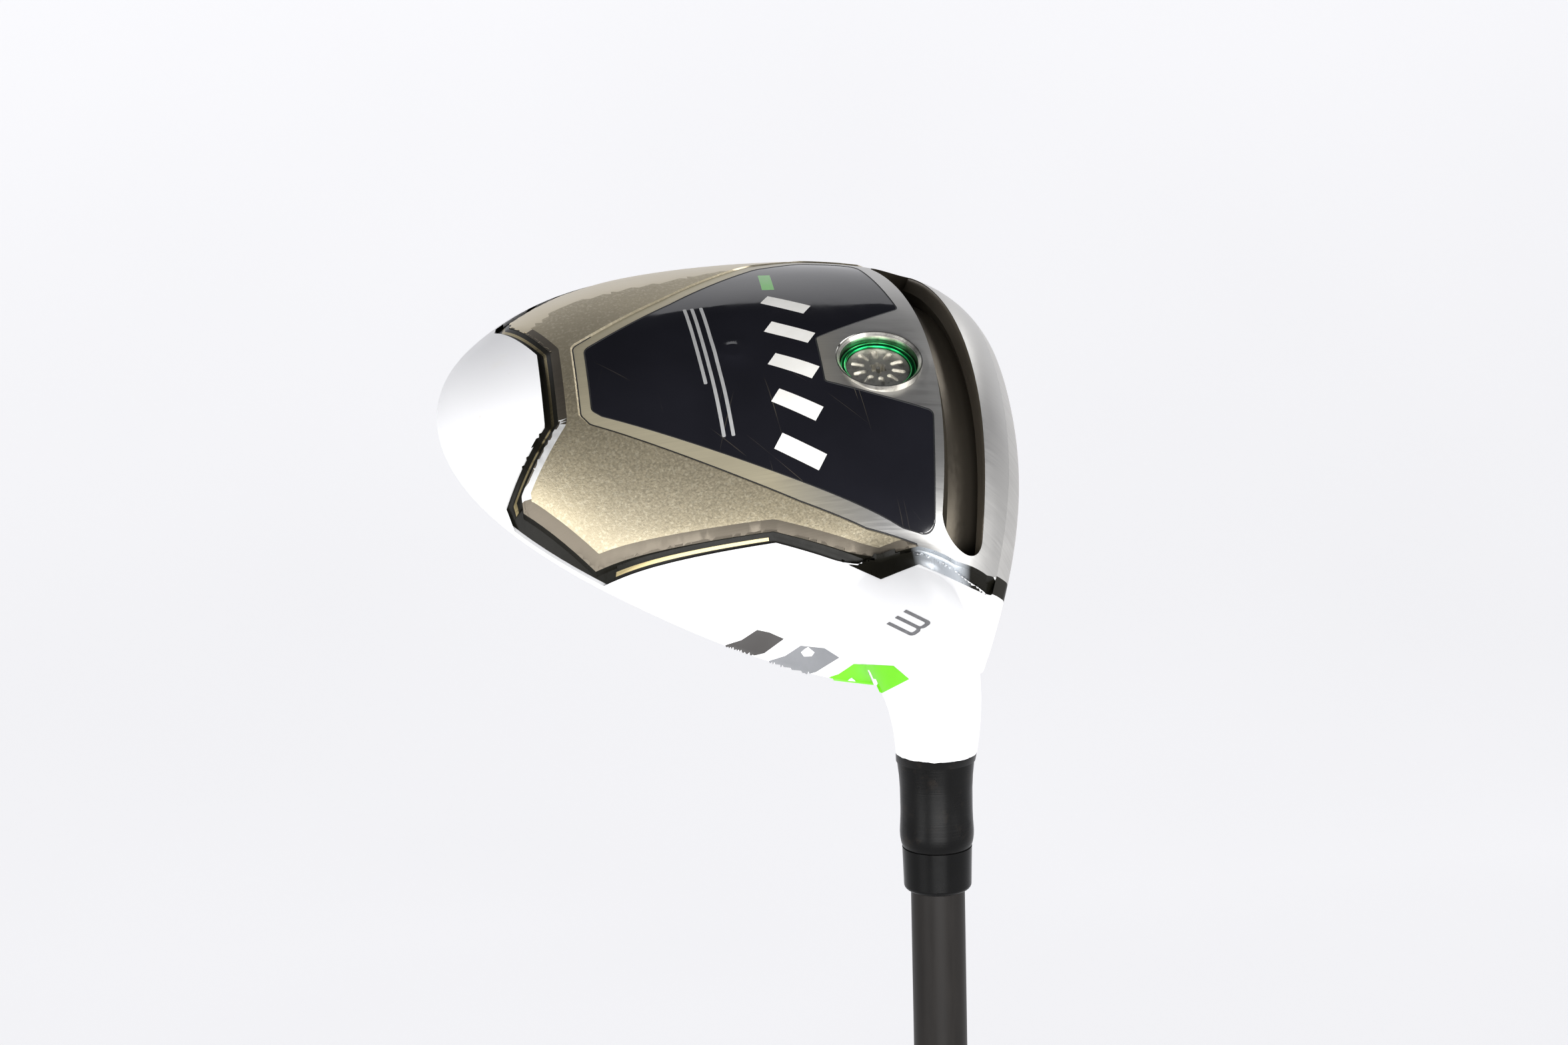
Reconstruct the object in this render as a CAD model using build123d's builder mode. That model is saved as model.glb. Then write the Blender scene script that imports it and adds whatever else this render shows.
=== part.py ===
"""Fairway wood: hollow steel head, graphite shaft and rubber grip, in millimetres.

The club stands grip down, as it does in a bag. The origin is the centre of the grip's butt end, +Z runs
up the shaft to the head, +X points to the toe and the face looks along -Y.
The head is drawn in its own address frame, where x runs to the toe, y to the target and z up from the
ground, and the shaft axis meets the ground at the origin of that frame.
"""
from build123d import *
import math
import os

os.makedirs("parts", exist_ok=True)

# ---------------------------------------------------------------- driving dimensions
CLUB_LENGTH = 1098.5        # butt end to the point where the shaft axis meets the ground
LIE = 58.0                  # shaft axis to the ground, degrees
LOFT = 15.0                 # face to the vertical, degrees

# Head outline in plan: a mean radius about the head centre, and (order, cosine, sine) harmonics.
HEAD_X = 52.0
HEAD_Y = -26.0
OUTLINE_RADIUS = 53.5
OUTLINE_HARMONICS = ((1, 2.5, 7.0), (2, -2.0, -0.7), (3, -0.2, 3.0), (4, -1.1, -0.4), (5, 0.0, -0.5))

SOLE_RADIUS_TOE = 68.4      # sole camber from its lowest point towards the toe
SOLE_RADIUS_HEEL = 72.0     # the same towards the heel, at the front of the head
SOLE_RADIUS_BACK = 50.0     # the same towards the heel, at the back of the head
SOLE_RADIUS_DEPTH = 262.0   # sole camber from front to back
SOLE_LOW_X = 52.0           # lowest point of the sole
SOLE_LOW_Y = -13.0
HEEL_CURL = 0.384e-6        # extra rise towards the heel, times the fourth power of the distance
SEAM_HEIGHT = 34.2          # crown seam: a plane that falls towards the back
SEAM_SLOPE = 0.24
CROWN_HEIGHT = 42.5
CROWN_TOP_Y = 5.0
CROWN_RADIUS_WIDTH = 150.0
CROWN_RADIUS_DEPTH = 170.0

FACE_RADIUS = 300.0         # bulge and roll of the face
FACE_X = 52.0               # a point on the face
FACE_Y = 23.2
FACE_Z = 20.0
LEADING_EDGE_FILLET = 2.5
NECK_FILLET = 8.0

SCORE_COUNT = 8
SCORE_SPACING = 3.2
SCORE_LENGTH = 30.0         # middle lines
SCORE_SIDE = 27.0           # centre of the heel and toe lines, from the middle of the face
SCORE_SIDE_LENGTH = 18.0
SCORE_WIDTH = 0.6
SCORE_DEPTH = 0.25
SCORE_REACH = 6.0

SOLE_WALL = 2.0
SKIRT_WALL = 1.3
CROWN_WALL = 0.9
FACE_WALL = 2.1
CUP_DEPTH = 3.6             # the face cup wraps this far back round the head
CROWN_LAP = 0.6             # the crown reaches this far below the seam
CROWN_HEEL_X = 6.0          # heel end of the crown, where the neck begins

GROOVE_DEPTH = 0.8          # polished channel round the sole panels
BADGE_POCKET = 1.3
BADGE_TAPE = 0.2
BADGE_PLATE = 1.05
EMBLEM_DEPTH = 0.25
SLOT_DEPTH = 4.6
SLOT_WALL = 1.2

HOSEL_TOP = 50.6            # end of the hosel, along the shaft axis from the ground
HOSEL_OUTLINE = ((6.45, 30.0), (6.4, 35.5), (6.05, 38.7), (5.92, 42.5), (6.0, 46.3), (5.9, 49.8), (5.6, 50.6))
BORE_RADIUS = 4.5
BORE_BOTTOM = 24.0
TIP_GAP = 0.5               # from the shaft tip's brass pin to the bottom of the bore
TIP_RADIUS = 4.3            # sanded shaft tip inside the hosel
SHAFT_TIP_RADIUS = 4.45
SHAFT_BUTT_RADIUS = 7.6
SHAFT_PARALLEL = 80.0       # length of the parallel tip above the hosel
SHAFT_WALL = 1.5
FERRULE_LENGTH = 7.2
FERRULE_RADIUS = 5.75

PORT_X = 47.5               # weight port, square to the ground
PORT_Y = -0.5
PORT_RADIUS = 6.9
PORT_FLANGE_RADIUS = 7.6
PORT_CHAMFER = 0.5
PORT_MOUTH = 0.2            # heights above the ground
PORT_SHELF = 4.6
PORT_TOP = 12.0
PORT_FLOOR = 1.0
PORT_WALL = 1.2
RING_TOP = 1.8
RING_RADIUS = 6.8
RING_ROUND = 0.55
DISC_TOP = 2.3
DISC_RADIUS = 5.5
FLANGE_RADIUS = 6.75
FLANGE_THICKNESS = 0.8
RUNNING_GAP = 0.1
SHANK_RADIUS = 3.95
SHANK_LENGTH = 6.0
THREAD_RADIUS = 4.0
SOCKET_RADIUS = 1.15
SOCKET_LOBES = 6
SOCKET_LOBE_RADIUS = 0.38
SOCKET_PIN_RADIUS = 0.4
SOCKET_DEPTH = 1.6
PETAL_COUNT = 10
PETAL_RADIUS = 3.6
PETAL_LENGTH = 2.4
PETAL_WIDTH = 1.0
PETAL_DEPTH = 0.35

GLUE_PLACE = (66.0, -52.0)  # the sticky patch that catches loose crumbs inside the head
GLUE_LENGTH = 22.0
GLUE_WIDTH = 15.0
GLUE_DEPTH = 1.2

PIN_HEAD = 1.5              # brass swing-weight pin in the shaft tip
PIN_LENGTH = 18.0
FERRULE_END_RADIUS = 5.55
FERRULE_ROUND = 0.8
SHAFT_BUTT_END = 300.0      # the butt is parallel up to here, above the grip end
GRIP_LENGTH = 267.0
CAP_LENGTH = 10.0
CAP_FLOOR = 4.0
CAP_RADIUS = 13.4
VENT_RADIUS = 1.6
CAP_ROUND = 1.5
TAPE_THICKNESS = 0.3
TAPE_SHORT = 5.0
GRIP_OUTLINE = ((13.4, 10.0), (12.7, 25.0), (12.0, 50.0), (11.2, 110.0), (10.2, 180.0), (9.2, 245.0), (8.8, 267.0))
GRIP_RINGS = (14.0, 250.0, 256.0)
GRIP_RING_WIDTH = 1.2
GRIP_RING_DEPTH = 0.4

CUT_CLEAR = 1.0             # cuts start this far outside the skin

RING_POINTS = 30
RING_SHARES = (0.03, 0.2, 0.4, 0.6, 0.74, 0.85, 0.93, 0.975, 1.0)

lie = math.radians(LIE)
HEAD = Plane(
    origin=(0, 0, CLUB_LENGTH),
    x_dir=(math.sin(lie), 0, math.cos(lie)),
    z_dir=(math.cos(lie), 0, -math.sin(lie)),
)
BELOW = HEAD.offset(-15)    # plane under the head, on which the sole's outlines are drawn
HEAD_REACH = 140            # longer than the head
SOLE_REACH = 40             # from there past the sole and skirt, short of the crown's top


# ---------------------------------------------------------------- head form
def smooth(t):
    """0 below 0, 1 above 1, and an even ramp between."""
    t = min(1.0, max(0.0, t))
    return t * t * (3 - 2 * t)


def outline_radius(angle):
    waves = sum(c * math.cos(n * angle) + s * math.sin(n * angle) for n, c, s in OUTLINE_HARMONICS)
    return OUTLINE_RADIUS + waves


def dome_height(x, y):
    """The sole's plain dome."""
    across = x - SOLE_LOW_X
    along = y - SOLE_LOW_Y
    level = along**2 / (2 * SOLE_RADIUS_DEPTH)
    if across > 0:
        return level + across**2 / (2 * SOLE_RADIUS_TOE)
    flat = smooth((y + 45) / 50)
    camber = SOLE_RADIUS_BACK + (SOLE_RADIUS_HEEL - SOLE_RADIUS_BACK) * flat
    return level + across**2 / (2 * camber) + HEEL_CURL * (1 - 0.7 * flat) * across**4


def crown_height(x, y):
    across = x - HEAD_X
    along = y - CROWN_TOP_Y
    return CROWN_HEIGHT - across**2 / (2 * CROWN_RADIUS_WIDTH) - along**2 / (2 * CROWN_RADIUS_DEPTH)


def skirt_power(angle):
    """The skirt turns up a little later at the front than at the back."""
    return 8 + 1.8 * smooth((math.sin(angle) + 0.2) / 0.9)


def head_point(angle, share, top, side, sole, crown):
    """A point of the head's skin, share of the way out to the seam. side, sole and crown move it inwards."""
    reach = outline_radius(angle) - side
    x = HEAD_X + share * reach * math.cos(angle)
    y = HEAD_Y + share * reach * math.sin(angle)
    edge_x = HEAD_X + reach * math.cos(angle)
    edge_y = HEAD_Y + reach * math.sin(angle)
    seam = SEAM_HEIGHT + SEAM_SLOPE * edge_y
    if top:
        height = crown_height(x, y) - crown
        drop = crown_height(edge_x, edge_y) - crown - seam
        z = height - drop * share**6
    else:
        height = dome_height(x, y) + sole
        rise = seam - dome_height(edge_x, edge_y) - sole
        z = height + rise * share ** skirt_power(angle)
    return HEAD.from_local_coords(Vector(x, y, z))


def skin_ring(share, top, side, sole, crown):
    turns = [2 * math.pi * i / RING_POINTS for i in range(RING_POINTS)]
    points = [head_point(turn, share, top, side, sole, crown) for turn in turns]
    steps = [i / RING_POINTS for i in range(RING_POINTS + 1)]
    return Wire([Edge.make_spline(points, periodic=True, parameters=steps)])


def head_blank(side=0.0, sole=0.0, crown=0.0):
    """The closed egg of the head, before its face is cut, with its skin moved inwards."""
    faces = []
    for top in (False, True):
        rings = [skin_ring(share, top, side, sole, crown) for share in RING_SHARES]
        faces += Shell.make_loft(rings).faces()
        faces.append(Face.make_surface(rings[0]))
    return Solid(Shell(faces))


def face_ball(inwards):
    """The ball whose surface is the face, or lies inwards of it."""
    tilt = math.radians(LOFT)
    radius = FACE_RADIUS - inwards
    y = FACE_Y - FACE_RADIUS * math.cos(tilt)
    z = FACE_Z - FACE_RADIUS * math.sin(tilt)
    return Pos(HEAD.from_local_coords(Vector(FACE_X, y, z))) * Sphere(radius)


def grip_radius(height):
    """The grip's outside, straight from one point of its outline to the next."""
    for (r1, h1), (r2, h2) in zip(GRIP_OUTLINE, GRIP_OUTLINE[1:]):
        if h1 <= height <= h2:
            return r1 + (r2 - r1) * (height - h1) / (h2 - h1)
    return GRIP_OUTLINE[-1][0]


def neck_plane(x, y, z, lean):
    """The plane of one oval across the neck: lean is the angle of its normal above level, degrees."""
    rise = math.radians(lean)
    centre = HEAD.from_local_coords(Vector(x, y, z))
    ahead = HEAD.from_local_coords(Vector(x - math.cos(rise), y, z + math.sin(rise)))
    return Plane(origin=centre, x_dir=(0, 1, 0), z_dir=ahead - centre)


# ---------------------------------------------------------------- sole outlines
# Where the white paint stops, anticlockwise from the front of the heel.
PAINT_EDGE = [
    (16.0, 38.0), (14.6, 19.4), (12.1, 14.1), (11.2, 8.7), (11.4, 1.4), (9.2, -5.7), (15.4, -22.5),
    (16.6, -53.0), (27.5, -65.2), (31.0, -66.5), (40.9, -59.1), (58.2, -59.1), (73.0, -65.6),
    (76.5, -65.2), (86.0, -55.0), (93.0, -43.0), (98.0, -28.0), (99.5, -10.0), (96.0, 8.0), (96.0, 38.0),
]
# The foot of the sole panels, inside the polished groove.
PANEL_EDGE = [
    (17.0, 40.0), (16.2, 19.4), (13.8, 14.2), (12.7, 8.0), (13.1, 1.4), (10.9, -5.6), (17.0, -22.8),
    (18.3, -52.3), (28.8, -63.6), (31.0, -63.8), (40.4, -56.8), (58.0, -56.8), (72.0, -63.0),
    (75.0, -62.8), (83.8, -53.4), (90.6, -42.0), (95.3, -28.0), (96.8, -10.0), (93.6, 7.0), (93.6, 40.0),
]
BADGE_EDGE = [
    (41.7, -51.0), (57.0, -51.0), (68.6, -34.7), (83.6, -17.0), (87.4, -8.0), (85.6, 1.8), (62.9, 5.6),
    (53.6, -10.8), (42.6, -10.8), (36.0, 7.2), (14.6, 4.4), (15.6, -1.0), (40.2, -49.4),
]
BADGE_CORNERS = [1.4, 2.0, 6.0, 6.0, 4.0, 4.0, 1.2, 0.8, 0.8, 1.2, 2.8, 2.0, 1.4]
SLOT_LINE = ((17.8, 9.9), (51.0, 12.9), (84.0, 8.6))
SLOT_WIDTH = 7.4
# Slanted bars inlaid in the badge: centres, then size and the angle of their long side from heel-to-toe.
EMBLEM_BARS = ((29.0, -16.8), (38.0, -16.2), (47.0, -15.6), (56.0, -15.0), (65.0, -14.4))
EMBLEM_LENGTH = 8.4
EMBLEM_WIDTH = 3.2
EMBLEM_LEAN = 123.0
ACCENT_PLACE = (75.5, -16.3)
ACCENT_LENGTH = 8.0
ACCENT_WIDTH = 2.2
ACCENT_LEAN = 3.0


def band_outline(outer, inner):
    """The band between two closed outlines in the address plane."""
    with BuildSketch(BELOW) as outline:
        with BuildLine():
            Polyline(*outer, close=True)
        make_face()
        with BuildLine():
            Polyline(*inner, close=True)
        make_face(mode=Mode.SUBTRACT)
    return outline.sketch


def rounded_outline(points, radii):
    """A closed outline in the address plane with its own radius at each corner."""
    with BuildSketch(BELOW) as outline:
        with BuildLine():
            FilletPolyline(*points, radius=radii, close=True)
        make_face()
    return outline.sketch


def slot_outline(margin):
    with BuildLine() as line:
        ThreePointArc(*SLOT_LINE)
    with BuildSketch(BELOW) as outline:
        SlotArc(line.wire(), height=SLOT_WIDTH + 2 * margin)
    return outline.sketch


def bars_outline(places, length, width, lean):
    with BuildSketch(BELOW) as outline:
        with Locations(*places):
            Rectangle(length, width, rotation=lean)
    return outline.sketch


def sole_slice(outline, start, end):
    """The head's skin within an outline, from a depth start down to a depth end."""
    with BuildPart() as portion:
        extrude(outline, amount=SOLE_REACH, dir=HEAD.z_dir)
        add(head_blank(start, start, 0) & face_ball(0), mode=Mode.INTERSECT)
        add(head_blank(end, end, 0), mode=Mode.SUBTRACT)
    return portion.part


groove_band = band_outline(PAINT_EDGE, PANEL_EDGE)
badge_edge = rounded_outline(BADGE_EDGE, BADGE_CORNERS)

# ---------------------------------------------------------------- head skin
# The neck carries the hosel into the heel: x, y, z, lean, half height and half width of each oval.
NECK = (
    (-19.1, 0.0, 30.5, 58, 6.5, 6.5),
    (-13.6, 0.0, 23.0, 50, 7.7, 7.7),
    (-6.5, -0.5, 21.5, 26, 8.9, 9.0),
    (3.0, -2.0, 21.3, 6, 9.2, 10.5),
    (13.0, -4.0, 20.5, 0, 7.0, 10.0),
)
with BuildPart() as neck:
    for x, y, z, lean, half_height, half_width in NECK:
        with BuildSketch(neck_plane(x, y, z, lean)):
            Ellipse(half_width, half_height)
    loft()

plain_egg = head_blank()
rough_egg = plain_egg + neck.part
neck_edges = new_edges(plain_egg, neck.part, combined=rough_egg)
whole_egg = rough_egg.fillet(NECK_FILLET, neck_edges)
cut_egg = whole_egg & face_ball(0)
up = Axis(HEAD.origin, HEAD.z_dir)
face_border = cut_egg.faces().filter_by(GeomType.SPHERE).edges().sort_by(up)
leading_edge = face_border.filter_by(lambda edge: edge.length > 50)[0]
skin = cut_egg.fillet(LEADING_EDGE_FILLET, [leading_edge])
cavity = head_blank(SKIRT_WALL, SOLE_WALL, CROWN_WALL) & face_ball(FACE_WALL)
seam_slope = math.atan(SEAM_SLOPE)
seam_normal = HEAD.from_local_coords(Vector(0, -math.sin(seam_slope), math.cos(seam_slope))) - HEAD.origin
seam_plane = Plane(
    origin=HEAD.from_local_coords(Vector(CROWN_HEEL_X, 0, SEAM_HEIGHT - CROWN_LAP)),
    x_dir=HEAD.x_dir,
    z_dir=seam_normal,
)


def crown_zone():
    """Everything above the seam and toe-ward of the neck."""
    with BuildPart() as zone:
        with BuildSketch(seam_plane):
            Rectangle(HEAD_REACH, 2 * HEAD_REACH, align=(Align.MIN, Align.CENTER))
        extrude(amount=HEAD_REACH)
    return zone.part


def largest(part):
    return part.solids().sort_by(SortBy.VOLUME)[-1]


def keep(part, name):
    """Name a finished piece and write it."""
    part.label = name
    export_step(part, f"parts/{name}.step")


# ---------------------------------------------------------------- crown and face
body_skin = skin & face_ball(CUP_DEPTH)
roof = crown_zone()
cup_core = face_ball(CUP_DEPTH)

with BuildPart() as crown_shell:
    add(body_skin)
    add(roof, mode=Mode.INTERSECT)
    add(cavity, mode=Mode.SUBTRACT)
keep(crown_shell.part, "crown_shell")

face_tilt = math.radians(LOFT)
face_out = HEAD.from_local_coords(Vector(0, math.cos(face_tilt), math.sin(face_tilt))) - HEAD.origin
face_plane = Plane(
    origin=HEAD.from_local_coords(Vector(FACE_X, FACE_Y, FACE_Z)), x_dir=HEAD.x_dir, z_dir=face_out
)
line_floor = face_ball(SCORE_DEPTH)
with BuildPart() as score_lines:
    with BuildSketch(face_plane.offset(-SCORE_REACH)):
        with GridLocations(0, SCORE_SPACING, 1, SCORE_COUNT):
            Rectangle(SCORE_LENGTH, SCORE_WIDTH)
        with GridLocations(2 * SCORE_SIDE, SCORE_SPACING, 2, SCORE_COUNT - 3):
            Rectangle(SCORE_SIDE_LENGTH, SCORE_WIDTH)
    extrude(amount=2 * SCORE_REACH)
    add(line_floor, mode=Mode.SUBTRACT)

with BuildPart() as face_cup:
    add(skin)
    add(cup_core, mode=Mode.SUBTRACT)
    add(cavity, mode=Mode.SUBTRACT)
    add(score_lines.part, mode=Mode.SUBTRACT)
keep(largest(face_cup.part), "face_cup")

# ---------------------------------------------------------------- head body
axis_foot = Plane(origin=(0, 0, CLUB_LENGTH), x_dir=(1, 0, 0), z_dir=(0, 0, -1))
port_foot = Plane(
    origin=HEAD.from_local_coords(Vector(PORT_X, PORT_Y, 0)), x_dir=HEAD.x_dir, z_dir=HEAD.z_dir
)
axis_side = Plane(origin=axis_foot.origin, x_dir=(1, 0, 0), z_dir=(0, 1, 0))
port_side = Plane(origin=port_foot.origin, x_dir=HEAD.x_dir, z_dir=-HEAD.y_dir)

with BuildPart() as hosel:
    with BuildSketch(axis_side):
        with BuildLine():
            Spline(*HOSEL_OUTLINE)
            Polyline(HOSEL_OUTLINE[-1], (0, HOSEL_TOP), (0, HOSEL_OUTLINE[0][1]), HOSEL_OUTLINE[0])
        make_face()
    revolve(axis=Axis.Z)

with BuildPart() as bore:
    with BuildSketch(axis_foot.offset(BORE_BOTTOM)):
        Circle(BORE_RADIUS)
    extrude(amount=HOSEL_TOP)

whole_sole = head_blank()
with BuildPart() as port_boss:
    with BuildSketch(port_foot.offset(PORT_MOUTH)):
        Circle(PORT_FLANGE_RADIUS + PORT_WALL)
    extrude(amount=PORT_TOP - PORT_MOUTH)
    add(whole_sole, mode=Mode.INTERSECT)

with BuildPart() as port_hole:
    with BuildSketch(port_foot.offset(-PORT_TOP)):
        Circle(PORT_FLANGE_RADIUS)
    extrude(amount=2 * PORT_TOP)

trough = sole_slice(slot_outline(SLOT_WALL), 0, SLOT_DEPTH + SLOT_WALL) & cup_core
hollow = cavity - neck.part
recesses = [
    sole_slice(slot_outline(0), -CUT_CLEAR, SLOT_DEPTH),
    sole_slice(badge_edge, -CUT_CLEAR, BADGE_POCKET),
    sole_slice(groove_band, -CUT_CLEAR, GROOVE_DEPTH),
]

with BuildPart() as head_body:
    add(body_skin)
    add(roof, mode=Mode.SUBTRACT)
    add(hollow, mode=Mode.SUBTRACT)
    add(trough)
    add(port_boss.part)
    add(hosel.part)
    add(bore.part, mode=Mode.SUBTRACT)
    add(port_hole.part, mode=Mode.SUBTRACT)
    for recess in recesses:
        add(recess, mode=Mode.SUBTRACT)
keep(largest(head_body.part), "head_body")

# ---------------------------------------------------------------- sole badge
badge_bottom = BADGE_POCKET - BADGE_TAPE
badge_top = badge_bottom - BADGE_PLATE
emblem = bars_outline(EMBLEM_BARS, EMBLEM_LENGTH, EMBLEM_WIDTH, EMBLEM_LEAN)
accent = bars_outline([ACCENT_PLACE], ACCENT_LENGTH, ACCENT_WIDTH, ACCENT_LEAN)

badge_tape = sole_slice(badge_edge, badge_bottom, BADGE_POCKET)
keep(badge_tape, "badge_tape")
badge_emblem = sole_slice(emblem, badge_top, badge_top + EMBLEM_DEPTH)
keep(badge_emblem, "badge_emblem")
badge_accent = sole_slice(accent, badge_top, badge_top + EMBLEM_DEPTH)
keep(badge_accent, "badge_accent")

plate = sole_slice(badge_edge, badge_top, badge_bottom)
with BuildPart() as sole_badge:
    add(plate)
    add(badge_emblem, mode=Mode.SUBTRACT)
    add(badge_accent, mode=Mode.SUBTRACT)
keep(sole_badge.part, "sole_badge")

# ---------------------------------------------------------------- weight port and screw
with BuildPart() as weight_port:
    with BuildSketch(port_side):
        with BuildLine():
            Polyline(
                (THREAD_RADIUS, PORT_SHELF), (PORT_RADIUS, PORT_SHELF),
                (PORT_RADIUS, PORT_MOUTH + PORT_CHAMFER), (PORT_RADIUS + PORT_CHAMFER, PORT_MOUTH),
                (PORT_FLANGE_RADIUS, PORT_MOUTH), (PORT_FLANGE_RADIUS, PORT_TOP),
                (0, PORT_TOP), (0, PORT_TOP - PORT_FLOOR), (THREAD_RADIUS, PORT_TOP - PORT_FLOOR), close=True,
            )
        make_face()
    revolve(axis=Axis(port_foot.origin, port_foot.z_dir))
keep(weight_port.part, "weight_port")

with BuildPart() as weight_ring:
    with BuildSketch(port_foot.offset(RING_TOP)):
        Circle(RING_RADIUS)
        Circle(DISC_RADIUS + RUNNING_GAP, mode=Mode.SUBTRACT)
    extrude(amount=PORT_SHELF - FLANGE_THICKNESS - RING_TOP)
    fillet(weight_ring.edges().group_by(up)[0], RING_ROUND)
keep(weight_ring.part, "weight_ring")

with BuildPart() as weight_screw:
    with BuildSketch(port_foot.offset(DISC_TOP)):
        Circle(DISC_RADIUS)
    extrude(amount=PORT_SHELF - DISC_TOP)
    with BuildSketch(port_foot.offset(PORT_SHELF - FLANGE_THICKNESS)):
        Circle(FLANGE_RADIUS)
    extrude(amount=FLANGE_THICKNESS)
    with BuildSketch(port_foot.offset(PORT_SHELF)):
        Circle(SHANK_RADIUS)
    extrude(amount=SHANK_LENGTH)
    with BuildSketch(port_foot.offset(DISC_TOP)):
        Circle(SOCKET_RADIUS)
        with PolarLocations(SOCKET_RADIUS, SOCKET_LOBES):
            Circle(SOCKET_LOBE_RADIUS)
        Circle(SOCKET_PIN_RADIUS, mode=Mode.SUBTRACT)
    extrude(amount=SOCKET_DEPTH, mode=Mode.SUBTRACT)
    with BuildSketch(port_foot.offset(DISC_TOP)):
        with PolarLocations(PETAL_RADIUS, PETAL_COUNT):
            SlotOverall(PETAL_LENGTH, PETAL_WIDTH)
    extrude(amount=PETAL_DEPTH, mode=Mode.SUBTRACT)
keep(weight_screw.part, "weight_screw")

# ---------------------------------------------------------------- inside the head
glue_floor = head_blank(SKIRT_WALL, SOLE_WALL, CROWN_WALL)
glue_top = head_blank(SKIRT_WALL, SOLE_WALL + GLUE_DEPTH, CROWN_WALL)
with BuildPart() as rattle_glue:
    with BuildSketch(BELOW):
        with Locations(GLUE_PLACE):
            Ellipse(GLUE_LENGTH / 2, GLUE_WIDTH / 2)
    extrude(amount=SOLE_REACH, dir=HEAD.z_dir)
    add(glue_floor, mode=Mode.INTERSECT)
    add(glue_top, mode=Mode.SUBTRACT)
keep(rattle_glue.part, "rattle_glue")


def turned(name, outline, base, axis=Axis.Z):
    """A round piece from its half outline of (radius, distance) pairs on a plane through its axis."""
    with BuildPart() as piece:
        with BuildSketch(base):
            with BuildLine():
                Polyline(*outline, close=True)
            make_face()
        revolve(axis=axis)
    return piece


# ---------------------------------------------------------------- shaft tip, measured along the axis from the ground
tip = BORE_BOTTOM + TIP_GAP + PIN_HEAD
shaft_bond = turned(
    "shaft_bond", [(TIP_RADIUS, tip), (BORE_RADIUS, tip), (BORE_RADIUS, HOSEL_TOP), (TIP_RADIUS, HOSEL_TOP)], axis_side
)
keep(shaft_bond.part, "shaft_bond")

with BuildPart() as ferrule:
    with BuildSketch(axis_side):
        with BuildLine():
            Polyline(
                (SHAFT_TIP_RADIUS, HOSEL_TOP), (FERRULE_RADIUS, HOSEL_TOP),
                (FERRULE_END_RADIUS, HOSEL_TOP + FERRULE_LENGTH), (SHAFT_TIP_RADIUS, HOSEL_TOP + FERRULE_LENGTH),
                close=True,
            )
        make_face()
    revolve(axis=Axis.Z)
    fillet(ferrule.edges().group_by(Axis.Z)[0].sort_by(SortBy.RADIUS)[-1], FERRULE_ROUND)
keep(ferrule.part, "ferrule")

tip_pin = turned(
    "tip_pin",
    [
        (0, tip - PIN_HEAD), (TIP_RADIUS, tip - PIN_HEAD), (TIP_RADIUS, tip), (TIP_RADIUS - SHAFT_WALL, tip),
        (TIP_RADIUS - SHAFT_WALL, tip + PIN_LENGTH), (0, tip + PIN_LENGTH),
    ],
    axis_side,
)
keep(tip_pin.part, "tip_pin")

# ---------------------------------------------------------------- shaft and grip, measured up from the butt
club_side = Plane.XZ
shaft_outline = [
    (SHAFT_BUTT_RADIUS, CAP_FLOOR),
    (SHAFT_BUTT_RADIUS, SHAFT_BUTT_END),
    (SHAFT_TIP_RADIUS, CLUB_LENGTH - HOSEL_TOP - SHAFT_PARALLEL),
    (SHAFT_TIP_RADIUS, CLUB_LENGTH - HOSEL_TOP),
    (TIP_RADIUS, CLUB_LENGTH - HOSEL_TOP),
    (TIP_RADIUS, CLUB_LENGTH - tip),
    (TIP_RADIUS - SHAFT_WALL, CLUB_LENGTH - tip),
    (TIP_RADIUS - SHAFT_WALL, CLUB_LENGTH - HOSEL_TOP - SHAFT_PARALLEL),
    (SHAFT_BUTT_RADIUS - SHAFT_WALL, SHAFT_BUTT_END),
    (SHAFT_BUTT_RADIUS - SHAFT_WALL, CAP_FLOOR),
]
shaft = turned("shaft", shaft_outline, club_side)
keep(shaft.part, "shaft")

tape_radius = SHAFT_BUTT_RADIUS + TAPE_THICKNESS
grip_tape = turned(
    "grip_tape",
    [
        (SHAFT_BUTT_RADIUS, CAP_FLOOR), (tape_radius, CAP_FLOOR),
        (tape_radius, GRIP_LENGTH - TAPE_SHORT), (SHAFT_BUTT_RADIUS, GRIP_LENGTH - TAPE_SHORT),
    ],
    club_side,
)
keep(grip_tape.part, "grip_tape")

with BuildPart() as grip_cap:
    with BuildSketch(Plane.XY):
        Circle(CAP_RADIUS)
        Circle(VENT_RADIUS, mode=Mode.SUBTRACT)
    extrude(amount=CAP_LENGTH)
    with BuildSketch(Plane.XY.offset(CAP_FLOOR)):
        Circle(tape_radius)
    extrude(amount=CAP_LENGTH, mode=Mode.SUBTRACT)
    fillet(grip_cap.edges().group_by(Axis.Z)[0].sort_by(SortBy.RADIUS)[-1], CAP_ROUND)
keep(grip_cap.part, "grip_cap")

with BuildPart() as grip:
    with BuildSketch(club_side):
        with BuildLine():
            Spline(*GRIP_OUTLINE)
            Polyline(GRIP_OUTLINE[-1], (tape_radius, GRIP_LENGTH), (tape_radius, CAP_LENGTH), GRIP_OUTLINE[0])
        make_face()
    revolve(axis=Axis.Z)
    for height in GRIP_RINGS:
        with BuildSketch(Plane.XY.offset(height)):
            Circle(CAP_RADIUS)
            Circle(grip_radius(height) - GRIP_RING_DEPTH, mode=Mode.SUBTRACT)
        extrude(amount=GRIP_RING_WIDTH, mode=Mode.SUBTRACT)
keep(grip.part, "grip")
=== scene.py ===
import math

import bpy
import numpy as np
from mathutils import Matrix, Vector
from mathutils.bvhtree import BVHTree
from mathutils.geometry import delaunay_2d_cdt


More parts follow.
